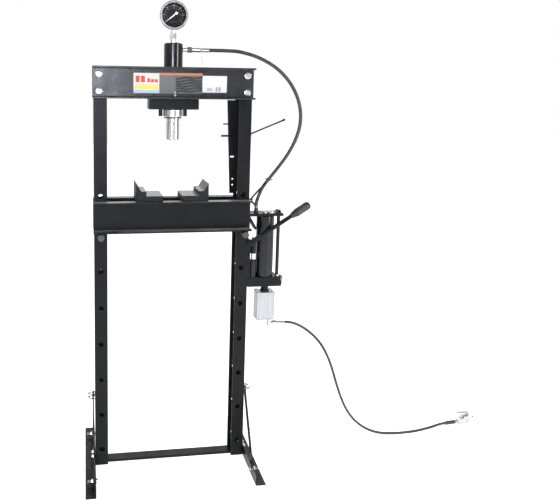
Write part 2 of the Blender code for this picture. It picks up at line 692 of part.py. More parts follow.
# ---------------------------------------------------------------- hoses
def make_hydraulic_hose():
    turned("coupler_nipple",
           stepped_profile((0.012, 0.0705 - CYL_R, 0.053 - CYL_R), (0.0075, 0.053 - CYL_R, GAP)),
           axis_place((1, 0, 0), (CYL_R, 0, COUPLER_Z)), STEEL, 24)
    turned("coupler_socket",
           stepped_profile((0.0078, COUPLER_END, 0.100), (0.0088, 0.100, 0.0708)),
           axis_place((1, 0, 0), (0, 0, COUPLER_Z)), STEEL, 24)
    route = catmull_rom(HYD_ROUTE, 0.022)
    add_object("hydraulic_hose", tube_mesh("hydraulic_hose", route, HYD_R, 3), RUBBER)
    web = UPR_OUT + GAP
    wire = [(0.3715, -0.010, 1.1290), (0.3420, -0.010, 1.0985), (0.3160, -0.010, 1.0690),
            (0.3130, -0.010, 1.0640), (0.3150, -0.010, 1.0585), (0.3225, -0.010, 1.0490),
            (0.3300, -0.010, 1.0395)]
    bracket = add_object("hose_bracket", tube_mesh("hose_bracket", wire, 0.0037, 2), BLACK)
    join(bracket, cylinder_mesh("stud", *along(0, web, 0.319, -0.010, 1.0630), 0.0045, 16))


def make_hanger():
    """Tapered plate inside the right upright with two pegs, and the rod outside it."""
    plane = (-0.0307, -0.0277)
    outline = ((0.218, BEAM_BOT - 0.004), (0.234, 1.083), (0.2925, 1.083),
               (0.2925, BEAM_BOT - 0.004))
    plate = extruded("hanger_plate", outline, PLANE_XZ, *plane, BLACK)
    middle = -sum(plane) / 2
    bm = bmesh.new()
    slot = Matrix.Translation((0.2445, middle, 1.2285)) @ Matrix.Diagonal((0.022, 0.02, 0.006, 1))
    bmesh.ops.create_cube(bm, size=1, matrix=slot)
    boolean(plate, add_tool("hanger_slot", mesh_from(bm, "hanger_slot")), "DIFFERENCE")
    drill(plate, [(*along(1, 0.02, 0.04, 0.245, z), 0.0035) for z in (1.1400, 1.1165)]
          + [(*along(1, 0.02, 0.04, HOLE_X, 1.085), HOLE_R + 0.002)], 16)
    join(plate,
         cylinder_mesh("lower_peg", *along(0, 0.196, 0.240, middle, 1.3105), 0.0038, 12),
         cylinder_mesh("upper_peg", *along(0, 0.204, 0.240, middle, 1.3570), 0.0028, 12))
    web = UPR_OUT + GAP
    rod = [(web + 0.004, 0, 1.3195), (web + 0.010, 0, 1.3220), (0.4340, 0, 1.3730),
           (0.4400, 0, 1.3760)]
    hanger = add_object("hanger_rod", tube_mesh("hanger_rod", rod, 0.003, 2), BLACK)
    join(hanger, cylinder_mesh("root", *along(0, web, web + 0.008, 0, 1.3200), 0.0075, 16),
         cylinder_mesh("tip", (0.4330, 0, 1.3726), (0.4430, 0, 1.3772), 0.0042, 12))


def valve_place(distance, height=0.0):
    place = VALVE_START + VALVE_DIR * distance
    return Vector((place.x, place.y, VALVE_START.z + height))


def make_air_line():
    route = catmull_rom(AIR_ROUTE, 0.018)
    add_object("air_hose", tube_mesh("air_hose", route, AIR_R, 3), RUBBER)
    turn = Matrix.Rotation(math.atan2(VALVE_DIR.y, VALVE_DIR.x), 4, "Z")
    spot = valve_place(VALVE_BODY_AT)
    outline = ((0.0, -0.008), (0.005, -0.012), (0.050, -0.012), (0.062, -0.005), (0.062, 0.009),
               (0.058, 0.024), (0.058, 0.0335), (0.050, 0.0335), (0.050, 0.0245),
               (0.030, 0.0245), (0.030, 0.0165), (0.012, 0.0165), (0.003, 0.010), (0.0, 0.007))
    mesh = outline_mesh("air_valve_body", outline, PLANE_XZ, -0.011, 0.011)
    mesh.transform(turn)
    body = add_object("air_valve_body", mesh, ZINC)
    body.location = spot
    button = spot + turn @ Vector((0.021, 0, 0))
    join(bevel(body, 0.0012),
         cylinder_mesh("button", *along(2, spot.z + 0.012, spot.z + 0.0295, *button.xy), 0.0042, 16),
         cylinder_mesh("stub", valve_place(0.040), valve_place(VALVE_BODY_AT + 0.006), 0.0058, 20),
         cylinder_mesh("ferrule", valve_place(0), valve_place(0.046), 0.0075, 20))
    hinge = spot + turn @ Vector((0.054, 0, 0.0365))
    lever_outline = ((0.004, -0.0022), (0.004, 0.0015), (-0.054, 0.0075), (-0.060, 0.0050),
                     (-0.054, 0.0050), (-0.002, -0.0005), (-0.002, -0.0022))
    mesh = outline_mesh("air_valve_lever", lever_outline, PLANE_XZ, -0.0085, 0.0085)
    mesh.transform(turn)
    lever = add_object("air_valve_lever", mesh, ZINC)
    lever.location = hinge
    upward = (VALVE_DIR + Vector((0, 0, 0.33))).normalized()
    turned("air_plug",
           stepped_profile((0.0045, 0.034, 0.024), (0.0060, 0.024, 0.018),
                           (0.0042, 0.018, 0.009), (0.0062, 0.009, 0.0)),
           axis_place(upward, valve_place(VALVE_BODY_AT + 0.0645, 0.002)), STEEL, 20)


make_frame()
make_bed()
make_blocks()
make_ram()
make_gauge()
make_pump_body()
make_hand_pump()
make_air_motor()
make_hydraulic_hose()
make_hanger()
make_air_line()
bpy.context.view_layer.update()
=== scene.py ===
"""Looks of the hydraulic shop press: materials, small parts, labels, hoses, camera and light."""
import math

import bmesh
import bpy
from mathutils import Matrix, Vector


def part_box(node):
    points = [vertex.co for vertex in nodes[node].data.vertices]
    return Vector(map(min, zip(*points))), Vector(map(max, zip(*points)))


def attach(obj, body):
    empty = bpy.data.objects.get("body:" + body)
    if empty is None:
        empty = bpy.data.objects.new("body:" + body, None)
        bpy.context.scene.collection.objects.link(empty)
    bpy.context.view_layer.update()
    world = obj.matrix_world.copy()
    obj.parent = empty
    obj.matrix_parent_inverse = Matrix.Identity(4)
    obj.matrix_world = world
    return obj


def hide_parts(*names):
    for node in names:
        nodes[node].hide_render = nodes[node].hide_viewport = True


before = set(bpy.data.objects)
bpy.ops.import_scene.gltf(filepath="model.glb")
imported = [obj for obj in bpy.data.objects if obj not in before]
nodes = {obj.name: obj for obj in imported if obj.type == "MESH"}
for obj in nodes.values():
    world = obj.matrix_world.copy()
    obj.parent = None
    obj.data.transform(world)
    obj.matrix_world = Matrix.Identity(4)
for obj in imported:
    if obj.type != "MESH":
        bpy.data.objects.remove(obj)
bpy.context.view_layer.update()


def middle_of(node):
    low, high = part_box(node)
    return (low + high) / 2


PRESS_X = middle_of("ram_cylinder").x       # the ram's axis, midway between the uprights


def at(x, y, z):
    """A point given from the press's middle plane, in the row frame."""
    return Vector((PRESS_X + x, y, z))


# ---------------------------------------------------------------- camera
CAMERA_SPOT = at(-0.3292, -2.4182, 1.5008)
CAMERA_YAW, CAMERA_PITCH, CAMERA_ROLL = 8.5282, 7.9158, 0.7229
camera_data = bpy.data.cameras.new("camera")
camera_data.sensor_width = 36
camera_data.lens = 41.04
camera_data.shift_x = 0.1774
camera_data.shift_y = -0.1374
camera_data.clip_end = 60
camera = bpy.data.objects.new("camera", camera_data)
camera.matrix_world = (Matrix.Translation(CAMERA_SPOT)
                       @ Matrix.Rotation(math.radians(-CAMERA_YAW), 4, "Z")
                       @ Matrix.Rotation(math.radians(90 - CAMERA_PITCH), 4, "X")
                       @ Matrix.Rotation(math.radians(CAMERA_ROLL), 4, "Z"))
bpy.context.scene.collection.objects.link(camera)
bpy.context.scene.camera = camera


# ---------------------------------------------------------------- materials
class Look:
    """A Principled material, built up from procedural nodes in the piece's own space."""

    def __init__(self, name, colour, roughness, metallic=0.0, **sockets):
        self.mat = bpy.data.materials.new(name)
        self.mat.use_nodes = True
        self.tree = self.mat.node_tree
        self.shader = self.tree.nodes["Principled BSDF"]
        self.shader.inputs["Base Color"].default_value = (*colour, 1)
        self.shader.inputs["Roughness"].default_value = roughness
        self.shader.inputs["Metallic"].default_value = metallic
        for socket, value in sockets.items():
            self.shader.inputs[socket.replace("_", " ")].default_value = value
        self.space = self.add("ShaderNodeTexCoord").outputs["Object"]

    def add(self, kind, **settings):
        node = self.tree.nodes.new(kind)
        for key, value in settings.items():
            setattr(node, key, value)
        return node

    def link(self, source, target):
        self.tree.links.new(source, target)

    def noise(self, scale, stretch=(1, 1, 1), detail=4.0, roughness=0.55):
        """Noise with features of about 1/scale metres, stretched along an axis by small values."""
        mapping = self.add("ShaderNodeMapping")
        mapping.inputs["Scale"].default_value = stretch
        self.link(self.space, mapping.inputs["Vector"])
        node = self.add("ShaderNodeTexNoise")
        node.inputs["Scale"].default_value = scale
        node.inputs["Detail"].default_value = detail
        node.inputs["Roughness"].default_value = roughness
        self.link(mapping.outputs["Vector"], node.inputs["Vector"])
        return node.outputs["Fac"]

    def wave(self, scale, axis, distortion=0.0):
        """Even bands across an axis, such as tool marks or a hose's braid."""
        node = self.add("ShaderNodeTexWave", wave_type="BANDS", bands_direction=axis)
        node.inputs["Scale"].default_value = scale
        node.inputs["Distortion"].default_value = distortion
        self.link(self.space, node.inputs["Vector"])
        return node.outputs["Fac"]

    def remap(self, source, low, high, to_low=0.0, to_high=1.0):
        """Stretches low to high over to_low to to_high, and clamps the rest."""
        node = self.add("ShaderNodeMapRange")
        for key, value in (("From Min", low), ("From Max", high), ("To Min", to_low),
                           ("To Max", to_high)):
            node.inputs[key].default_value = value
        self.link(source, node.inputs["Value"])
        return node.outputs["Result"]

    def math(self, operation, first, second):
        node = self.add("ShaderNodeMath", operation=operation)
        for value, socket in ((first, node.inputs[0]), (second, node.inputs[1])):
            if isinstance(value, (int, float)):
                socket.default_value = value
            else:
                self.link(value, socket)
        return node.outputs[0]

    def tint(self, factor, colour):
        """Goes over to colour where factor is 1."""
        target = self.shader.inputs["Base Color"]
        node = self.add("ShaderNodeMix", data_type="RGBA")
        sockets = {s.identifier: s for s in node.inputs}
        self.link(factor, sockets["Factor_Float"])
        if target.is_linked:
            self.link(target.links[0].from_socket, sockets["A_Color"])
        else:
            sockets["A_Color"].default_value = target.default_value
        sockets["B_Color"].default_value = (*colour, 1)
        self.link({s.identifier: s for s in node.outputs}["Result_Color"], target)
        return self

    def set(self, socket, source):
        """Drives one of the shader's sockets."""
        self.link(source, self.shader.inputs[socket])
        return self

    def bump(self, source, distance, strength=1.0):
        """Adds relief on top of the relief the material has so far."""
        node = self.add("ShaderNodeBump")
        node.inputs["Strength"].default_value = strength
        node.inputs["Distance"].default_value = distance
        target = self.shader.inputs["Normal"]
        if target.is_linked:
            self.link(target.links[0].from_socket, node.inputs["Normal"])
        self.link(source, node.inputs["Height"])
        self.link(node.outputs["Normal"], target)
        return self

    def soften(self, radius):
        """Rounds the edges' shading, so that they catch the light."""
        bevel = self.add("ShaderNodeBevel", samples=4)
        bevel.inputs["Radius"].default_value = radius
        self.link(bevel.outputs["Normal"], self.shader.inputs["Normal"])
        return self

    def facing(self, axis, low=0.8, high=0.95):
        """1 where the surface faces along an axis of the piece, 0 elsewhere."""
        geometry = self.add("ShaderNodeNewGeometry")
        turn = self.add("ShaderNodeVectorTransform", vector_type="NORMAL",
                        convert_from="WORLD", convert_to="OBJECT")
        self.link(geometry.outputs["Normal"], turn.inputs["Vector"])
        split = self.add("ShaderNodeSeparateXYZ")
        self.link(turn.outputs["Vector"], split.inputs["Vector"])
        return self.remap(split.outputs[axis], low, high)

    def edges(self, radius=0.0016, low=0.015, high=0.12):
        """1 on convex edges, from a rounded normal against the true one."""
        bevel = self.add("ShaderNodeBevel", samples=4)
        bevel.inputs["Radius"].default_value = radius
        geometry = self.add("ShaderNodeNewGeometry")
        dot = self.add("ShaderNodeVectorMath", operation="DOT_PRODUCT")
        self.link(bevel.outputs["Normal"], dot.inputs[0])
        self.link(geometry.outputs["Normal"], dot.inputs[1])
        return self.remap(self.math("SUBTRACT", 1.0, dot.outputs["Value"]), low, high)


def paint(name, colour, roughness, top_highlight=0.0, sheen=0.13):
    """Powder coat: orange peel, faint cloudiness, small scuffs, lighter edges (worn chips and a
    painted edge highlight), and, if asked, a painted highlight on upward faces.
    """
    look = Look(name, colour, roughness, Specular_IOR_Level=sheen)
    clouds = look.noise(7, detail=3)
    look.tint(look.remap(clouds, 0.4, 0.75, 0.0, 0.5), tuple(c * 1.9 for c in colour))
    scuffs = look.remap(look.noise(55, (1, 1, 0.12), 8, 0.65), 0.66, 0.74)
    look.tint(look.math("MULTIPLY", scuffs, 0.45), (0.09, 0.09, 0.095))
    specks = look.remap(look.noise(420, detail=2), 0.73, 0.77)
    look.tint(look.math("MULTIPLY", specks, 0.35), (0.13, 0.13, 0.13))
    # Lighter edges: partly worn chips, partly a painted edge highlight standing in for the light
    # the edges catch.
    edge_chips_and_glint = look.remap(look.noise(90, detail=5), 0.42, 0.62)
    look.tint(look.math("MULTIPLY", look.edges(), look.math("MULTIPLY", edge_chips_and_glint, 0.55)),
              (0.16, 0.16, 0.165))
    rough = look.remap(look.noise(18, detail=5), 0.3, 0.7, roughness - 0.07, roughness + 0.10)
    # Painted highlight: faces pointing up are made lighter in streaky patches, where the overhead
    # light would catch them.
    if top_highlight:
        painted_top_highlight = look.math("MULTIPLY", look.facing("Z"),
                           look.remap(look.noise(16, (0.3, 1, 1), 8, 0.7), 0.36, 0.66))
        look.tint(look.math("MULTIPLY", painted_top_highlight, top_highlight), (0.42, 0.42, 0.42))
    look.set("Roughness", rough)
    look.soften(0.0018)
    look.bump(look.noise(750, detail=2), 0.00012, 0.5)
    look.bump(look.noise(60, detail=3), 0.0002, 0.3)
    return look.mat


def bright_metal(name, colour, roughness, turned=None, streaks=(1, 1, 1), grime=0.25):
    """Bare or plated steel: fine tool marks, small changes of sheen and some grime."""
    look = Look(name, colour, roughness, 1.0)
    patches = look.noise(45, detail=6)
    look.tint(look.remap(patches, 0.5, 0.8, 0.0, grime), tuple(c * 0.45 for c in colour))
    fine = look.noise(260, streaks, 5)
    look.set("Roughness", look.remap(fine, 0.3, 0.75, max(0.05, roughness - 0.08),
                                     roughness + 0.14))
    look.bump(fine, 0.00005, 0.4)
    if turned:
        look.bump(look.wave(turned, "Z", 1.5), 0.00003, 0.35)
    return look.mat


def rubber(name, colour, roughness, ribs=None):
    """Dull rubber or moulded plastic, dusty in places, diagonally ribbed where ribs is given."""
    look = Look(name, colour, roughness)
    look.tint(look.remap(look.noise(25, detail=6), 0.45, 0.8, 0.0, 0.6), (0.035, 0.035, 0.036))
    look.set("Roughness", look.remap(look.noise(120), 0.3, 0.7, roughness - 0.1, roughness + 0.1))
    look.bump(look.noise(600, detail=3), 0.0002, 0.5)
    if ribs:
        look.bump(look.wave(ribs, "DIAGONAL", 0.0), 0.00025, 0.5)
    return look.mat


def machined_casting(name):
    """A dark cast block whose top faces are ground bright and scratched."""
    look = Look(name, (0.006, 0.006, 0.007), 0.5, 0.3, Specular_IOR_Level=0.2)
    look.tint(look.remap(look.noise(130, detail=6), 0.45, 0.7, 0.0, 0.7), (0.020, 0.020, 0.019))
    scratches = look.remap(look.noise(160, (1, 0.06, 1), 6), 0.35, 0.7, 0.35, 1.0)
    top = look.facing("Z", 0.25, 0.5)
    look.tint(look.math("MULTIPLY", top, look.math("MULTIPLY", scratches, 0.7)), (0.20, 0.20, 0.20))
    look.set("Metallic", look.remap(top, 0, 1, 0.2, 0.7))
    look.set("Roughness", look.remap(top, 0, 1, 0.6, 0.38))
    look.bump(look.noise(420, detail=6), 0.0003, 0.6)
    return look.mat


def extruded_aluminium(name):
    """Pale aluminium with vertical drawing lines and cloudy patches."""
    look = Look(name, (0.36, 0.365, 0.37), 0.42, 0.35)
    lines = look.noise(150, (1, 1, 0.015), 6, 0.6)
    look.tint(look.remap(lines, 0.35, 0.7, 0.0, 0.5), (0.22, 0.225, 0.23))
    look.tint(look.remap(look.noise(14, (1, 1, 0.3), 4), 0.5, 0.75, 0.0, 0.45), (0.46, 0.465, 0.47))
    look.set("Roughness", look.remap(lines, 0.3, 0.7, 0.28, 0.5))
    look.bump(lines, 0.00008, 0.5)
    return look.mat


def printed(name, colour, roughness=0.45):
    """Ink or enamel, slightly uneven."""
    look = Look(name, colour, roughness)
    look.tint(look.remap(look.noise(300, detail=3), 0.5, 0.8, 0.0, 0.25),
              tuple(c * 0.7 for c in colour))
    look.set("Roughness", look.remap(look.noise(80), 0.3, 0.7, roughness - 0.08, roughness + 0.08))
    return look.mat


def glass(name):
    """A nearly clear window with a faint dark cast."""
    look = Look(name, (0.01, 0.01, 0.01), 0.04, Alpha=0.10, IOR=1.35)
    look.set("Roughness", look.remap(look.noise(30), 0.3, 0.7, 0.02, 0.07))
    return look.mat


LOOKS = {
    "black_paint": paint("powder_coat_black", (0.0045, 0.0046, 0.0056), 0.34),
    # The bed's paint carries a painted highlight on its upward faces, at strength 0.6.
    "bed_paint": paint("powder_coat_bed", (0.0045, 0.0046, 0.0058), 0.36, 0.6),
    "beam_paint": paint("powder_coat_beam", (0.0058, 0.0060, 0.0080), 0.30, sheen=0.45),
    "gloss_paint": paint("gloss_black", (0.0040, 0.0040, 0.0048), 0.17, sheen=0.3),
    "oxide": bright_metal("black_oxide", (0.075, 0.075, 0.078), 0.42),
    "chrome": bright_metal("chromed_steel", (0.62, 0.62, 0.64), 0.14, 900, grime=0.15),
    "steel": bright_metal("turned_steel", (0.48, 0.48, 0.49), 0.22, 700),
    "stainless": bright_metal("stainless_case", (0.52, 0.53, 0.54), 0.22, streaks=(1, 0.05, 1)),
    "zinc": bright_metal("bright_zinc", (0.50, 0.50, 0.49), 0.30, grime=0.35),
    "spring": bright_metal("spring_wire", (0.33, 0.33, 0.35), 0.34),
    "casting": machined_casting("press_block_iron"),
    "aluminium": extruded_aluminium("extruded_aluminium"),
    "hose": rubber("hose_cover", (0.010, 0.010, 0.011), 0.42, 320),
    "grip": rubber("moulded_grip", (0.013, 0.013, 0.014), 0.5),
    "seal": rubber("seal_rubber", (0.012, 0.012, 0.012), 0.6),
    "plastic": rubber("moulded_plastic", (0.014, 0.014, 0.016), 0.38),
    "dial": printed("dial_face", (0.002, 0.002, 0.003), 0.85),
    "marking": printed("dial_marking", (0.75, 0.75, 0.76)),
    "faint_marking": printed("dial_faint_marking", (0.15, 0.15, 0.165)),
    "needle": printed("needle_enamel", (0.90, 0.90, 0.90), 0.4),
    "glass": glass("gauge_window"),
}
NODE_LOOKS = {
    "bed_paint": ("bed_front_channel", "bed_rear_channel"),
    "beam_paint": ("front_beam",),
    "gloss_paint": ("pump_reservoir", "pump_tie_rod", "ram_cylinder", "hand_pump_barrel"),
    "chrome": ("ram_piston", "hand_pump_plunger"),
    "steel": ("ram_collar", "gauge_stem"),
    "stainless": ("gauge_case",),
    "oxide": ("bed_left_pin", "bed_right_pin"),
    "zinc": ("air_elbow", "air_valve_body", "air_valve_lever", "air_plug"),
    "spring": ("return_spring",),
    "casting": ("left_press_block", "right_press_block"),
    "seal": ("ram_wiper",),
    "dial": ("gauge_dial",),
    "needle": ("gauge_needle",),
    "glass": ("gauge_lens",),
}
look_of = {node: look for look, members in NODE_LOOKS.items() for node in members}
for node, obj in nodes.items():
    obj.data.materials.clear()
    obj.data.materials.append(LOOKS[look_of.get(node, "black_paint")])
    obj.data.shade_smooth()
    obj.data.set_sharp_from_angle(angle=math.radians(32))


# ---------------------------------------------------------------- shaping
def place_along(axis, origin):
    """Puts local Z along an axis, at an origin."""
    return (Matrix.Translation(origin)
            @ Vector(axis).normalized().to_track_quat("Z", "Y").to_matrix().to_4x4())


def lathe(bm, profile, place, steps=32, turn=0.0):
    """Turns (radius, height) points about local Z; radius 0 at an end closes it."""
    rings = []
    for radius, height in profile:
        if radius < 1e-6:
            rings.append([bm.verts.new(place @ Vector((0, 0, height)))])
            continue
        rings.append([bm.verts.new(place @ Vector((
            radius * math.cos(turn + 2 * math.pi * i / steps),
            radius * math.sin(turn + 2 * math.pi * i / steps), height))) for i in range(steps)])
    for first, second in zip(rings, rings[1:]):
        for i in range(steps):
            a, b = first[i % len(first)], first[(i + 1) % len(first)]
            c, d = second[(i + 1) % len(second)], second[i % len(second)]
            corners = []
            for vert in (a, b, c, d):
                if vert not in corners:
                    corners.append(vert)
            if len(corners) > 2:
                bm.faces.new(corners)


def hexagon(bm, across, low, high, place, chamfer=0.0012):
    """A hexagonal nut or head, its outer corners turned down at the top."""
    corner = across / 2 / math.cos(math.pi / 6)
    lathe(bm, [(0, low), (corner, low), (corner, high - chamfer), (across / 2 * 0.93, high),
               (0, high)], place, 6)


def threads(radius, low, high, pitch=0.0016):
    """The profile of a threaded shank from low to high, ending in a small chamfer."""
    points = []
    turns = max(2, int((high - low) / pitch))
    for i in range(turns):
        z = low + (high - low) * i / turns
        points += [(radius, z), (radius * 0.88, z + (high - low) / turns / 2)]
    return points + [(radius * 0.8, high), (0, high)]


def slab(bm, low, high):
    """A plain block between two corners."""
    low, high = Vector(low), Vector(high)
    bmesh.ops.create_cube(bm, size=1, matrix=Matrix.Translation((low + high) / 2)
                          @ Matrix.Diagonal((*(high - low), 1)))


def finish_piece(name, bm, look, body, slot, *replaced, bevel=0.0, angle=35):
    """A visible piece from a bmesh, riding on its body and standing for its CAD nodes."""
    bmesh.ops.recalc_face_normals(bm, faces=bm.faces)
    mesh = bpy.data.meshes.new(name)
    bm.to_mesh(mesh)
    bm.free()
    mesh.shade_smooth()
    mesh.set_sharp_from_angle(angle=math.radians(angle))
    mesh.materials.append(LOOKS[look] if isinstance(look, str) else look)
    obj = bpy.data.objects.new(name, mesh)
    bpy.context.scene.collection.objects.link(obj)
    if bevel:
        mod = obj.modifiers.new("soft_edges", "BEVEL")
        mod.width, mod.segments, mod.limit_method = bevel, 2, "ANGLE"
    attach(obj, body)
    if replaced:
        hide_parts(*replaced)
    return obj


# ---------------------------------------------------------------- hoses
HYDRAULIC_R = 0.00675
AIR_R = 0.0055
HYDRAULIC_ROUTE = (
    (0.1378, 0, 1.637), (0.162, 0, 1.637), (0.199, 0, 1.6368), (0.256, 0, 1.6335),
    (0.322, 0, 1.6165), (0.382, 0, 1.588), (0.4275, 0, 1.554), (0.464, 0, 1.512),
    (0.491, -0.002, 1.461), (0.504, -0.004, 1.407), (0.503, -0.005, 1.352),
    (0.487, -0.005, 1.297), (0.459, -0.004, 1.242), (0.423, -0.002, 1.190),
    (0.388, 0, 1.145), (0.362, 0, 1.110), (0.346, 0, 1.074), (0.338, 0, 1.047),
    (0.338, 0, 1.0303))
AIR_ROUTE = (
    (0.4703, 0, 0.5485), (0.4860, 0, 0.5485), (0.5070, 0, 0.5440), (0.5300, 0, 0.5345),
    (0.5535, 0, 0.5210), (0.5789, 0, 0.5020), (0.6042, 0, 0.4790), (0.6260, 0, 0.4540),
    (0.6450, 0, 0.4262), (0.6612, 0, 0.3955), (0.6760, 0.001, 0.3625),
    (0.6905, 0.003, 0.3245), (0.7040, 0.005, 0.2840), (0.7187, 0.008, 0.2430),
    (0.7404, 0.014, 0.1910), (0.7720, 0.024, 0.1315), (0.8170, 0.036, 0.0740),
    (0.8720, 0.042, 0.0310), (0.9280, 0.039, 0.0100), (0.9800, 0.033, 0.0060),
    (1.0350, 0.031, 0.0058), (1.1020, 0.037, 0.0058), (1.1700, 0.0525, 0.0062),
    (1.2130, 0.0630, 0.0090), (1.2424, 0.0681, 0.0125), (1.2620, 0.07046, 0.0125))


def smooth_route(route, spacing):
    """A smooth curve through the route's points, read every spacing metres or so."""
    pts = [at(*p) for p in route]
    pts = [2 * pts[0] - pts[1]] + pts + [2 * pts[-1] - pts[-2]]
    result = []
    for a, b, c, d in zip(pts, pts[1:], pts[2:], pts[3:]):
        steps = max(1, round((c - b).length / spacing))
        for i in range(steps):
            t = i / steps
            result.append(0.5 * ((2 * b) + (c - a) * t + (2 * a - 5 * b + 4 * c - d) * t ** 2
                                 + (3 * b - a - 3 * c + d) * t ** 3))
    return result + [pts[-2]]


def hose(name, route, radius, node):
    """A round hose along a route, standing for its CAD node."""
    curve = bpy.data.curves.new(name, "CURVE")
    curve.dimensions = "3D"
    curve.bevel_depth = radius
    curve.bevel_resolution = 6
    curve.use_fill_caps = True
    points = smooth_route(route, 0.010)
    spline = curve.splines.new("POLY")
    spline.points.add(len(points) - 1)
    for point, where in zip(spline.points, points):
        point.co = (*where, 1)
    spline.use_smooth = True
    curve.materials.append(LOOKS["hose"])
    obj = bpy.data.objects.new(name, curve)
    bpy.context.scene.collection.objects.link(obj)
    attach(obj, "press_frame")
    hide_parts(node)
    return obj


def make_hoses():
    obj = hose("hydraulic_hose_look", HYDRAULIC_ROUTE, HYDRAULIC_R, "hydraulic_hose")
    obj = hose("air_hose_look", AIR_ROUTE, AIR_R, "air_hose")


# ---------------------------------------------------------------- fasteners
BEAM_FACE_Y = -0.0426           # under the beam bolts' heads
BEAM_BOLT_REACH = 0.0852        # from a head's seat to its nut's
BEAM_BOLT_ACROSS, BEAM_SHANK_R = 0.0195, 0.0079
SMALL_ACROSS, SMALL_SHANK_R = 0.014, 0.0049
UPRIGHT_INSIDE_X = 0.2949       # a head's seat, just inside an upright's web
FOOT_INSIDE_X = 0.3002          # and just inside a foot's upright side
STUD_Y = 0.015                  # foot and brace bolts, to either side of the middle
FOOT_BOLT_Z, BRACE_BOLT_Z = 0.028, 0.280
TIE_BOLT_Y, TIE_BOLT_Z = 0.168, 0.020


def bolt(name, outer, axis, across, shank, reach, look="zinc", tip=0.0, replaced=()):
    """A bolt whose head sits at outer and faces along axis, with its nut reach metres behind.

    tip is how far the threaded end stands out of the nut.
    """
    bm = bmesh.new()
    head = place_along(axis, outer)
    thickness = across * 0.42
    lathe(bm, [(0, 0), (across * 0.62, 0), (across * 0.64, 0.0004), (across * 0.64, 0.0016),
               (across * 0.60, 0.002), (0, 0.002)], head, 28)
    hexagon(bm, across, 0.002, 0.002 + thickness, head)
    if reach:
        back = place_along(-Vector(axis), Vector(outer) - Vector(axis) * reach)
        lathe(bm, [(0, 0), (across * 0.68, 0), (across * 0.70, 0.0016), (0, 0.002)], back, 28)
        hexagon(bm, across, 0.002, 0.002 + thickness * 1.15, back)
        top = 0.002 + thickness * 1.15
        lathe(bm, [(0, top - 0.002)] + threads(shank, top - 0.002, top + tip), back, 20)
        lathe(bm, [(0, -0.001), (shank, -0.001), (shank, -reach + 0.001), (0, -reach + 0.001)],
              back, 16)
    return finish_piece(name, bm, look, "press_frame", "zinc_plate", *replaced, angle=28)


def make_bolts():
    """The beam's four bolts, and each foot's and brace's bolts on both sides."""
    for number in (1, 2, 3, 4):
        node = f"beam_bolt_{number}"
        spot = middle_of(node)
        bolt(f"beam_bolt_look_{number}", (spot.x, BEAM_FACE_Y, spot.z), (0, -1, 0),
             BEAM_BOLT_ACROSS, BEAM_SHANK_R, BEAM_BOLT_REACH, tip=0.007, replaced=(node,))
    for word, side in (("left", -1), ("right", 1)):
        for way in (-1, 1):
            end = "front" if way < 0 else "rear"
            for part, x, y, z, reach, tip in (
                    ("foot", UPRIGHT_INSIDE_X, STUD_Y, FOOT_BOLT_Z, 0.0096, 0.004),
                    ("brace", UPRIGHT_INSIDE_X, STUD_Y, BRACE_BOLT_Z, 0.0150, 0.010),
                    ("tie", FOOT_INSIDE_X, TIE_BOLT_Y, TIE_BOLT_Z, 0.0098, 0.013)):
                bolt(f"{word}_{end}_{part}_bolt", at(side * x, way * y, z), (-side, 0, 0),
                     SMALL_ACROSS, SMALL_SHANK_R, reach, tip=tip)
            spacer = bmesh.new()
            lathe(spacer, [(0.0055, 0), (0.009, 0), (0.009, 0.0042), (0.0055, 0.0042)],
                  place_along((side, 0, 0), at(side * 0.3003, way * STUD_Y, BRACE_BOLT_Z)), 24)
            finish_piece(f"{word}_{end}_brace_spacer", spacer, "zinc", "press_frame",
                         "zinc_plate")


# ---------------------------------------------------------------- labels
WEB_FACE_Y = -0.0423            # front of the beam's web


def label(name, x_range, z_range, colour, blocks):
    """A plain sticker with coloured areas, each (x0, x1, z0, z1, colour) as shares of its size."""
    (x0, x1), (z0, z1) = x_range, z_range
    bm = bmesh.new()
    slab(bm, at(x0, WEB_FACE_Y - 0.0004, z0), at(x1, WEB_FACE_Y - 0.0001, z1))
    finish_piece(name, bm, printed(name + "_ground", colour), "press_frame", "black_paint",
                 bevel=0.0001)
    by_colour = {}
    for u0, u1, v0, v1, ink in blocks:
        by_colour.setdefault(ink, []).append((u0, u1, v0, v1))
    for number, (ink, areas) in enumerate(by_colour.items()):
        bm = bmesh.new()
        for u0, u1, v0, v1 in areas:
            front = WEB_FACE_Y - 0.0006 - 0.0001 * number
            slab(bm, at(x0 + (x1 - x0) * u0, front, z0 + (z1 - z0) * v0),
                 at(x0 + (x1 - x0) * u1, WEB_FACE_Y - 0.0003, z0 + (z1 - z0) * v1))
        finish_piece(f"{name}_ink_{number}", bm, printed(f"{name}_ink_{number}", ink),
                     "press_frame", "black_paint")


def wavy_stripes(name, x_range, z_range, count, ink):
    """Waves printed over part of a label, each rising slightly to the right."""
    (x0, x1), (z0, z1) = x_range, z_range
    bm = bmesh.new()
    steps = 28
    for line in range(count):
        z = z0 + (z1 - z0) * (line + 0.5) / count
        width = (z1 - z0) / count * 0.36
        last = None
        for i in range(steps + 1):
            x = x0 + (x1 - x0) * i / steps
            rise = 0.0022 * math.sin(9 * i / steps + line * 0.9) + 0.004 * i / steps
            pair = [bm.verts.new(at(x, WEB_FACE_Y - 0.0007, z + rise + side * width))
                    for side in (-1, 1)]
            if last:
                bm.faces.new((last[0], pair[0], pair[1], last[1]))
            last = pair
    finish_piece(name, bm, printed(name, ink), "press_frame", "black_paint")


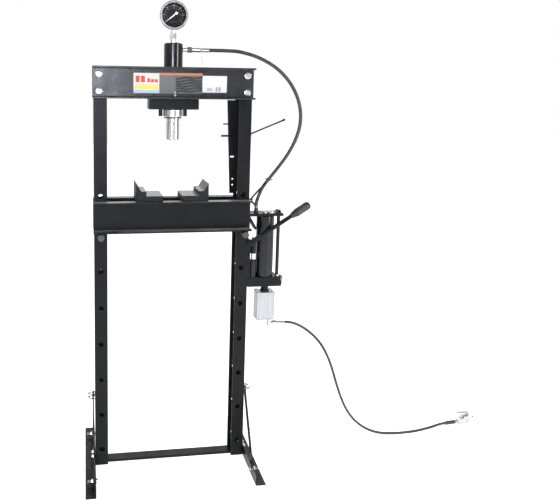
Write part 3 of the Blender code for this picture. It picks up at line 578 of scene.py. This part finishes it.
def make_labels():
    """Three plain labels side by side on the web, and a tag's pin at their lower edge."""
    red, yellow, pale_blue = (0.36, 0.030, 0.020), (0.50, 0.42, 0.09), (0.30, 0.37, 0.43)
    border, line, panel = (0.35, 0.35, 0.36), (0.45, 0.45, 0.46), (0.22, 0.22, 0.23)
    label("left_label", (-0.153, -0.057), (1.474, 1.548), (0.45, 0.42, 0.38), (
        (0.08, 0.24, 0.54, 0.86, red), (0.28, 0.44, 0.54, 0.86, red),
        (0.53, 0.64, 0.54, 0.74, red), (0.67, 0.79, 0.54, 0.70, red), (0.82, 0.94, 0.54, 0.70, red),
        (0.06, 0.94, 0.22, 0.44, yellow), (0.0, 1.0, 0.0, 0.15, pale_blue)))
    label("middle_label", (-0.057, 0.106), (1.473, 1.5496), (0.050, 0.050, 0.053), (
        (0.0, 1.0, 0.88, 1.0, (0.32, 0.12, 0.05)), (0.0, 0.36, 0.0, 0.87, (0.075, 0.075, 0.077))))
    wavy_stripes("middle_label_stripes", (0.006, 0.104), (1.476, 1.534), 6, (0.0008, 0.0008, 0.001))
    label("right_label", (0.105, 0.199), (1.478, 1.541), (0.47, 0.47, 0.49), (
        (0.0, 1.0, 0.97, 1.0, border), (0.0, 1.0, 0.0, 0.03, border),
        (0.0, 0.02, 0.0, 1.0, border), (0.98, 1.0, 0.0, 1.0, border),
        (0.18, 0.40, 0.10, 0.28, (0.30, 0.30, 0.31)), (0.54, 0.62, 0.08, 0.34, panel),
        (0.66, 0.75, 0.08, 0.34, panel), (0.08, 0.92, 0.42, 0.44, line),
        (0.08, 0.92, 0.56, 0.58, line), (0.08, 0.60, 0.72, 0.76, line)))
    rivet = bmesh.new()
    lathe(rivet, [(0, 0), (0.0035, 0), (0.0032, 0.0012), (0.0018, 0.002), (0, 0.0022)],
          place_along((0, -1, 0), at(0.0027, WEB_FACE_Y, 1.4655)), 20)
    slab(rivet, at(0.0012, WEB_FACE_Y - 0.0010, 1.4665), at(0.0042, WEB_FACE_Y - 0.0001, 1.4815))
    finish_piece("web_tag_pin", rivet, "zinc", "press_frame", "zinc_plate")


# ---------------------------------------------------------------- gauge
DIAL_START, DIAL_SWEEP = 219, -258      # heading of the dial's zero, and its span, in degrees
DIAL_DIVISIONS = 30


def arc(bm, centre, y, radius, width, start, end, steps=48):
    """A flat printed arc on the dial, from one heading in degrees to another."""
    last = None
    for i in range(steps + 1):
        angle = math.radians(start + (end - start) * i / steps)
        pair = [bm.verts.new((centre.x + r * math.cos(angle), y, centre.z + r * math.sin(angle)))
                for r in (radius - width / 2, radius + width / 2)]
        if last:
            bm.faces.new((last[0], pair[0], pair[1], last[1]))
        last = pair


def make_dial():
    """Printed scales, ticks and plain numbers on the dial."""
    low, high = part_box("gauge_dial")
    centre = (low + high) / 2
    face = low.y - 0.0002
    bright, faint = bmesh.new(), bmesh.new()
    arc(faint, centre, face, 0.0345, 0.0011, DIAL_START, DIAL_START + DIAL_SWEEP)
    arc(faint, centre, face, 0.0265, 0.0006, DIAL_START, DIAL_START + DIAL_SWEEP)
    arc(faint, centre, face, 0.0240, 0.0007, 235, 305, 16)
    for i in range(DIAL_DIVISIONS + 1):
        angle = math.radians(DIAL_START + DIAL_SWEEP * i / DIAL_DIVISIONS)
        major = i % 5 == 0
        target = bright if major else faint
        long, half = (0.0062, 0.00055) if major else (0.0034, 0.0003)
        heading = Vector((math.cos(angle), 0, math.sin(angle)))
        across = Vector((-heading.z, 0, heading.x)) * half
        base = Vector((centre.x, face - 0.0001, centre.z)) + heading * 0.0350
        target.faces.new([target.verts.new(p) for p in (
            base - across, base + across, base + heading * long + across,
            base + heading * long - across)])
    finish_piece("dial_faint_scale", faint, "faint_marking", "press_frame", "needle_white")
    finish_piece("dial_main_scale", bright, "marking", "press_frame", "needle_white")
    for i in range(0, DIAL_DIVISIONS + 1, 5):
        angle = math.radians(DIAL_START + DIAL_SWEEP * i / DIAL_DIVISIONS)
        text = bpy.data.curves.new(f"dial_number_{i}", "FONT")
        text.body = str(i)
        text.size = 0.0072
        text.align_x = text.align_y = "CENTER"
        text.materials.append(LOOKS["faint_marking"])
        obj = bpy.data.objects.new(f"dial_number_{i}", text)
        obj.matrix_world = (Matrix.Translation((centre.x + 0.0302 * math.cos(angle), face - 0.0001,
                                                centre.z + 0.0302 * math.sin(angle)))
                            @ Matrix.Rotation(math.pi / 2, 4, "X"))
        bpy.context.scene.collection.objects.link(obj)
        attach(obj, "press_frame")


def make_needle():
    """A tapered needle with a round counterweight and a raised hub."""
    low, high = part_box("gauge_needle")
    dial = middle_of("gauge_dial")
    y = (low.y + high.y) / 2
    heading = math.radians(DIAL_START)
    ahead = Vector((math.cos(heading), 0, math.sin(heading)))
    across = Vector((-ahead.z, 0, ahead.x))
    centre = Vector((dial.x, y, dial.z))
    bm = bmesh.new()
    outline = [(-0.0100, 0.0013), (0.0, 0.0024), (0.0375, 0.0005), (0.0375, -0.0005),
               (0.0, -0.0024), (-0.0100, -0.0013)]
    rings = [[bm.verts.new(centre + ahead * a + across * c + Vector((0, side * 0.0004, 0)))
              for a, c in outline] for side in (-1, 1)]
    count = len(outline)
    for i in range(count):
        j = (i + 1) % count
        bm.faces.new((rings[0][i], rings[0][j], rings[1][j], rings[1][i]))
    bm.faces.new(rings[0])
    bm.faces.new(rings[1][::-1])
    for where, radius, rise in ((centre - ahead * 0.0125, 0.0056, 0.0006),
                                (centre, 0.0034, 0.0016)):
        lathe(bm, [(0, -0.0006), (radius, -0.0006), (radius, rise - 0.0003), (radius * 0.85, rise),
                   (0, rise)], place_along((0, -1, 0), where), 28)
    finish_piece("gauge_needle_look", bm, "needle", "needle", "needle_white", "gauge_needle",
                 angle=28)


# ---------------------------------------------------------------- fittings
def make_couplers():
    """The screwed nipple, the grooved socket, and the strap of the socket's dust cap."""
    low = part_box("coupler_nipple")[0]
    axis = place_along((1, 0, 0), Vector((low.x, 0, middle_of("coupler_nipple").z)))
    bm = bmesh.new()
    lathe(bm, [(0, 0.0002)] + [(0.0072 - 0.0005 * (i % 2), 0.0002 + 0.0018 * i) for i in range(9)]
          + [(0.0072, 0.0165), (0, 0.0165)], axis, 28)
    hexagon(bm, 0.0208, 0.0168, 0.0342, axis, 0.0014)
    finish_piece("coupler_nipple_look", bm, "zinc", "press_frame", "bright_steel",
                 "coupler_nipple", angle=28)
    low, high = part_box("coupler_socket")
    axis = place_along((1, 0, 0), Vector((low.x, 0, middle_of("coupler_socket").z)))
    length = high.x - low.x
    bm = bmesh.new()
    profile = [(0, 0), (0.0080, 0), (0.0087, 0.0008)]
    for i in range(8):
        profile += [(0.0087, 0.002 + 0.0030 * i), (0.0081, 0.0032 + 0.0030 * i),
                    (0.0087, 0.0044 + 0.0030 * i)]
    profile += [(0.0087, 0.0285), (0.0070, 0.0292), (0.0070, 0.0325), (0.0078, 0.0330)]
    for i in range(3):
        profile += [(0.0078, 0.038 + 0.008 * i), (0.0074, 0.0395 + 0.008 * i),
                    (0.0078, 0.041 + 0.008 * i)]
    profile += [(0.0078, length - 0.001), (0.0072, length), (0, length)]
    lathe(bm, profile, axis, 32)
    finish_piece("coupler_socket_look", bm, "steel", "press_frame", "bright_steel",
                 "coupler_socket", angle=28)
    strap = bmesh.new()
    path = [at(0.1000, -0.0088, 1.6320), at(0.1030, -0.0098, 1.6215), at(0.1060, -0.0098, 1.6100),
            at(0.1090, -0.0092, 1.5990), at(0.1110, -0.0085, 1.5885), at(0.1120, -0.0080, 1.5790)]
    for a, b in zip(path, path[1:]):
        lathe(strap, [(0, -0.0002), (0.0009, 0), (0.0009, (b - a).length), (0, (b - a).length)],
              place_along(b - a, a), 8)
    lathe(strap, [(0.0079, 0), (0.0091, 0), (0.0091, 0.0024), (0.0079, 0.0024), (0.0079, 0)],
          place_along((1, 0, 0), at(0.0990, 0, 1.637)), 32)
    finish_piece("dust_cap_strap", strap, printed("strap_nylon", (0.42, 0.42, 0.43)),
                 "press_frame", "black_plastic")


def ribs(bm, place, count, radius, height, size):
    """Small blocks set evenly round local Z, as on a cap or a knob."""
    for i in range(count):
        turn = Matrix.Rotation(2 * math.pi * i / count, 4, "Z")
        spot = place @ turn @ Matrix.Translation((radius, 0, height))
        bmesh.ops.create_cube(bm, size=1, matrix=spot @ Matrix.Diagonal((*size, 1)))


def make_pump_details():
    """The caps and knobs on the pump, and the nut on its tie rod."""
    low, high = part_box("filler_cap")
    centre = (low + high) / 2
    for name, x, r, nodes_for in (("filler_cap_look", centre.x, 0.0125, ("filler_cap",)),
                                  ("relief_cap_look", centre.x - 0.0235, 0.0092, ())):
        bm = bmesh.new()
        place = Matrix.Translation((x, centre.y, low.z))
        lathe(bm, [(0, 0), (r, 0), (r, 0.0052), (r - 0.0014, 0.0066), (r * 0.55, 0.0068),
                   (r * 0.5, 0.0058), (0, 0.0058)], place, 40)
        ribs(bm, place, 20, r - 0.0001, 0.003, (0.001, 0.0012, 0.005))
        body = "filler" if nodes_for else "press_frame"
        finish_piece(name, bm, "steel", body, "bright_steel", *nodes_for, angle=28)
    low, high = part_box("breather_knob")
    centre = (low + high) / 2
    bm = bmesh.new()
    place = Matrix.Translation((centre.x, centre.y, low.z))
    lathe(bm, [(0, 0), (0.003, 0), (0.003, 0.004), (0.0052, 0.0046), (0.0055, 0.006),
               (0.0050, 0.0125), (0.0038, 0.0152), (0, 0.016)], place, 28)
    ribs(bm, place, 10, 0.0052, 0.009, (0.0009, 0.0014, 0.006))
    finish_piece("breather_knob_look", bm, "plastic", "breather", "black_plastic",
                 "breather_knob")
    low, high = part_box("release_knob")
    centre = (low + high) / 2
    place = place_along((1, 0, 0), Vector((low.x, centre.y, centre.z)))
    bm = bmesh.new()
    lathe(bm, [(0, 0), (0.017, 0), (0.0198, 0.0015), (0.0198, 0.0090), (0.018, 0.0105),
               (0.013, 0.0110), (0.012, 0.0098), (0, 0.0098)], place, 48)
    ribs(bm, place, 24, 0.0198, 0.0053, (0.0022, 0.0024, 0.0068))
    finish_piece("release_knob_look", bm, "steel", "release_valve", "bright_steel",
                 "release_knob", bevel=0.0003)
    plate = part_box("pump_top_plate")[1].z
    rod = middle_of("pump_tie_rod")
    bm = bmesh.new()
    place = Matrix.Translation((rod.x, 0, plate))
    lathe(bm, [(0, 0), (0.0098, 0), (0.0098, 0.0014), (0, 0.0016)], place, 28)
    hexagon(bm, 0.0150, 0.0014, 0.0088, place, 0.001)
    finish_piece("tie_rod_nut", bm, "black_paint", "press_frame", "black_paint", angle=28)


def make_hose_fitting():
    """The fitting under the hydraulic hose, its bright ring, and the clip higher up."""
    low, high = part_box("hose_fitting")
    centre = (low + high) / 2
    bm = bmesh.new()
    place = Matrix.Translation((centre.x, centre.y, low.z))
    lathe(bm, [(0, 0), (0.0092, 0), (0.0092, 0.0015), (0.0080, 0.002), (0.0080, 0.003)], place, 32)
    hexagon(bm, 0.0160, 0.0030, 0.0105, place, 0.0012)
    lathe(bm, [(0.0062, 0.0104), (0.0074, 0.0110), (0.0074, 0.0140), (0.0070, 0.0145),
               (0.0074, 0.0150), (0.0074, 0.0195), (0.0070, 0.0201), (0, 0.0201)], place, 32)
    finish_piece("hose_fitting_look", bm, "oxide", "press_frame", "black_paint", "hose_fitting",
                 angle=28)
    ring = bmesh.new()
    lathe(ring, [(0, 0.0201), (0.0082, 0.0201), (0.0086, 0.0207), (0.0086, 0.0237),
                 (0.0082, 0.0243), (0, 0.0243)], place, 32)
    finish_piece("hose_end_ring", ring, "zinc", "press_frame", "zinc_plate")
    clip = bmesh.new()
    spot = at(0.3850, 0, 1.1410)
    heading = Vector((0.62, 0, 0.785)).normalized()
    lathe(clip, [(0.0069, -0.003), (0.0088, -0.003), (0.0088, 0.003), (0.0069, 0.003),
                 (0.0069, -0.003)], place_along(heading, spot), 32)
    for side, reach in ((-1, 0.0185), (1, 0.0165)):
        start = spot + Vector((side * 0.0080, -0.002, -side * 0.0015))
        lathe(clip, [(0, 0), (0.0019, 0), (0.0017, reach - 0.0085), (0, reach - 0.0080)],
              place_along((side, 0, 0.12), start), 12)
    finish_piece("hose_clip", clip, "plastic", "press_frame", "black_plastic")


HANDLE_PIVOT = at(0.3065, -0.045, 0.8955)
HANDLE_ANGLE = math.radians(33)
GRIP_START = 0.1928             # from the pivot to the grip


def make_grip():
    """The moulded handle grip: ribbed near the rod, thick and round at its end."""
    heading = Vector((math.cos(HANDLE_ANGLE), 0, math.sin(HANDLE_ANGLE)))
    place = place_along(heading, HANDLE_PIVOT + heading * GRIP_START)
    profile = [(0, 0), (0.0088, 0), (0.0096, 0.0012)]
    for i in range(5):
        z = 0.004 + 0.0042 * i
        r = 0.0108 + 0.0048 * min(1.0, z / 0.022)
        profile += [(r, z), (r, z + 0.0020), (r - 0.0008, z + 0.0026), (r - 0.0008, z + 0.0036)]
    profile += [(0.0162, 0.0255)]
    for i in range(3):
        z = 0.029 + 0.0125 * i
        profile += [(0.0165, z), (0.0156, z + 0.0045), (0.0156, z + 0.0070), (0.0165, z + 0.0115)]
    profile += [(0.0165, 0.0690), (0.0160, 0.0755), (0.0142, 0.0810), (0.0110, 0.0850),
                (0.0060, 0.0874), (0, 0.0879)]
    bm = bmesh.new()
    lathe(bm, profile, place, 40)
    finish_piece("handle_grip_look", bm, "grip", "handle", "black_rubber", "handle_grip", angle=50)


def make_plunger():
    """A chromed plunger rod under its black head, its wiper, and the cylinder's bleed plug."""
    low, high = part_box("hand_pump_plunger")
    x, y = middle_of("hand_pump_plunger").xy
    shoulder = high.z - 0.053
    rod, head = bmesh.new(), bmesh.new()
    lathe(rod, [(0, low.z), (0.0065, low.z), (0.0065, shoulder), (0, shoulder)],
          Matrix.Translation((x, y, 0)), 28)
    finish_piece("plunger_rod_look", rod, "chrome", "plunger", "bright_steel", "hand_pump_plunger")
    lathe(head, [(0, shoulder), (0.0100, shoulder), (0.0113, shoulder + 0.0015),
                 (0.0113, high.z - 0.004), (0.0095, high.z), (0, high.z)],
          Matrix.Translation((x, y, 0)), 28)
    finish_piece("plunger_head_look", head, "black_paint", "plunger", "black_paint")
    wiper = bmesh.new()
    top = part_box("hand_pump_barrel")[1].z
    lathe(wiper, [(0.0067, top - 0.003), (0.0084, top - 0.003), (0.0084, top + 0.0012),
                  (0.0067, top + 0.002), (0.0067, top - 0.003)], Matrix.Translation((x, y, 0)), 28)
    finish_piece("plunger_wiper", wiper, "seal", "press_frame", "black_rubber")
    plug = bmesh.new()
    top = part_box("ram_cylinder")[1].z
    spot = at(0.0085, -0.0255, top)
    hexagon(plug, 0.0085, -0.0015, 0.0035, Matrix.Translation(spot), 0.0006)
    finish_piece("cylinder_bleed_plug", plug, "zinc", "press_frame", "zinc_plate", angle=28)


def fluted_outline(low, high, flutes, depth):
    """A rectangle in X and Y whose front and back carry shallow vertical grooves."""
    width = high.x - low.x
    front, back = [], []
    for i in range(flutes):
        left = low.x + width * (i + 0.5) / (flutes + 0.5)
        right = left + width / (flutes + 0.5) * 0.42
        for x, inset in ((left, 0), (left + 0.0006, depth), (right - 0.0006, depth), (right, 0)):
            front.append((x, low.y + inset))
            back.append((x, high.y - inset))
    return ([(low.x, low.y)] + front + [(high.x, low.y), (high.x, high.y)] + back[::-1]
            + [(low.x, high.y)])


def prism(bm, outline, low, high):
    """Raises an outline in X and Y from low to high."""
    rings = [[bm.verts.new((x, y, z)) for x, y in outline] for z in (low, high)]
    count = len(outline)
    for i in range(count):
        j = (i + 1) % count
        bm.faces.new((rings[0][i], rings[0][j], rings[1][j], rings[1][i]))
    bm.faces.new(rings[0][::-1])
    bm.faces.new(rings[1])


MOTOR_TOP = 0.686               # top of the motor's block, under its neck


def make_motor():
    """The air motor: a fluted body between two end plates, with a black neck and four screws."""
    low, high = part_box("air_motor")
    inset = Vector((0.0012, 0.0012, 0))
    bm = bmesh.new()
    outline = fluted_outline(Vector((low.x, low.y, 0)) + inset, Vector((high.x, high.y, 0)) - inset,
                             7, 0.0007)
    prism(bm, outline, low.z + 0.003, MOTOR_TOP - 0.012)
    finish_piece("air_motor_body", bm, "aluminium", "press_frame", "aluminium", "air_motor",
                 bevel=0.0004)
    for name, z0, z1 in (("air_motor_head", MOTOR_TOP - 0.0117, MOTOR_TOP),
                         ("air_motor_foot", low.z, low.z + 0.0028)):
        bm = bmesh.new()
        slab(bm, (low.x, low.y, z0), (high.x, high.y, z1))
        finish_piece(name, bm, "aluminium", "press_frame", "aluminium", bevel=0.0012)
    middle = (low + high) / 2
    bm = bmesh.new()
    place = Matrix.Translation((middle.x, middle.y, 0))
    lathe(bm, [(0, MOTOR_TOP), (0.019, MOTOR_TOP), (0.019, MOTOR_TOP + 0.003),
               (0.015, MOTOR_TOP + 0.0045), (0.015, high.z), (0, high.z)], place, 36)
    finish_piece("air_motor_neck", bm, "black_paint", "press_frame", "black_paint")
    screws = bmesh.new()
    for sx in (-1, 1):
        for sy in (-1, 1):
            spot = Matrix.Translation((middle.x + sx * 0.029, middle.y + sy * 0.022, MOTOR_TOP))
            lathe(screws, [(0, 0), (0.0034, 0), (0.0034, 0.0026), (0.0030, 0.0032),
                           (0.0018, 0.0032), (0.0018, 0.0014), (0, 0.0014)], spot, 20)
    finish_piece("air_motor_screws", screws, "zinc", "press_frame", "zinc_plate")


HOSE_END = at(1.2623, 0.0705, 0.0125)
HOSE_HEADING = Vector((1.0, 0.12, 0.0)).normalized()


def make_valve_band():
    """The rubber sleeve from the air hose's end to the valve, and the dark band it ends in."""
    bm = bmesh.new()
    lathe(bm, [(0.0076, 0), (0.0086, 0.0004), (0.0086, 0.0056), (0.0076, 0.006), (0.0059, 0.006),
               (0.0059, 0), (0.0076, 0)],
          place_along(HOSE_HEADING, HOSE_END + HOSE_HEADING * 0.0440), 32)
    finish_piece("air_hose_band", bm, "plastic", "press_frame", "black_plastic")
    sleeve = bmesh.new()
    profile = [(0.0059, 0.0006), (0.0078, 0.0006), (0.0081, 0.0015)]
    for i in range(8):
        z = 0.004 + 0.0048 * i
        profile += [(0.0081, z), (0.0077, z + 0.0010), (0.0077, z + 0.0022), (0.0081, z + 0.0032)]
    profile += [(0.0081, 0.0436), (0.0059, 0.0436), (0.0059, 0.0006)]
    lathe(sleeve, profile, place_along(HOSE_HEADING, HOSE_END), 32)
    finish_piece("air_hose_sleeve", sleeve, "hose", "press_frame", "black_rubber")


# ---------------------------------------------------------------- floor and light
def make_stage():
    """A pale floor, and four soft lights round the press."""
    bm = bmesh.new()
    bmesh.ops.create_grid(bm, x_segments=1, y_segments=1, size=14)
    mesh = bpy.data.meshes.new("floor")
    bm.to_mesh(mesh)
    bm.free()
    floor = bpy.data.objects.new("floor", mesh)
    look = Look("pale_floor", (0.92, 0.92, 0.92), 0.7)
    look.shader.inputs["Emission Color"].default_value = (1, 1, 1, 1)
    look.shader.inputs["Emission Strength"].default_value = 0.75
    look.tint(look.remap(look.noise(2.5), 0.4, 0.7, 0.0, 0.25), (0.88, 0.88, 0.88))
    mesh.materials.append(look.mat)
    bpy.context.scene.collection.objects.link(floor)
    target = at(0.1, 0, 0.9)
    white, cool = (1, 1, 1), (0.82, 0.88, 1.0)
    for name, spot, width, height, power, colour in (
            ("key", (-2.2, -2.4, 3.0), 2.0, 2.0, 45, white),
            ("strip", (2.3, -2.2, 1.5), 0.5, 2.2, 75, white),
            ("web_glow", (-0.80, -3.1, 1.58), 1.0, 0.50, 62, cool),
            ("back", (0.6, 2.6, 2.8), 2.6, 2.0, 35, white)):
        light = bpy.data.lights.new(name, "AREA")
        light.shape = "RECTANGLE"
        light.size, light.size_y = width, height
        light.energy = power
        light.color = colour
        obj = bpy.data.objects.new(name, light)
        obj.location = spot
        obj.rotation_euler = (target - Vector(spot)).to_track_quat("-Z", "Y").to_euler()
        bpy.context.scene.collection.objects.link(obj)


def make_world():
    """A white studio: brightest behind the press, dimmer overhead and behind the camera."""
    world = bpy.data.worlds.new("studio")
    world.use_nodes = True
    tree = world.node_tree
    background = tree.nodes["Background"]
    split = tree.nodes.new("ShaderNodeSeparateXYZ")
    coordinate = tree.nodes.new("ShaderNodeTexCoord")
    tree.links.new(coordinate.outputs["Generated"], split.inputs["Vector"])
    shades = []
    for axis, near, far, dim in (("Y", 0.35, -0.35, 0.60), ("Z", 0.35, 0.95, 0.40)):
        node = tree.nodes.new("ShaderNodeMapRange")
        node.interpolation_type = "SMOOTHSTEP"
        for key, value in (("From Min", near), ("From Max", far), ("To Min", 1.0), ("To Max", dim)):
            node.inputs[key].default_value = value
        tree.links.new(split.outputs[axis], node.inputs["Value"])
        shades.append(node.outputs["Result"])
    both = tree.nodes.new("ShaderNodeMath")
    both.operation = "MULTIPLY"
    tree.links.new(shades[0], both.inputs[0])
    tree.links.new(shades[1], both.inputs[1])
    tree.links.new(both.outputs[0], background.inputs["Strength"])
    background.inputs["Color"].default_value = (1, 1, 1, 1)
    bpy.context.scene.world = world
    bpy.context.scene.view_settings.view_transform = "Standard"


make_hoses()
make_bolts()
make_labels()
make_dial()
make_needle()
make_plunger()
make_couplers()
make_pump_details()
make_hose_fitting()
make_grip()
make_motor()
make_valve_band()
make_stage()
make_world()
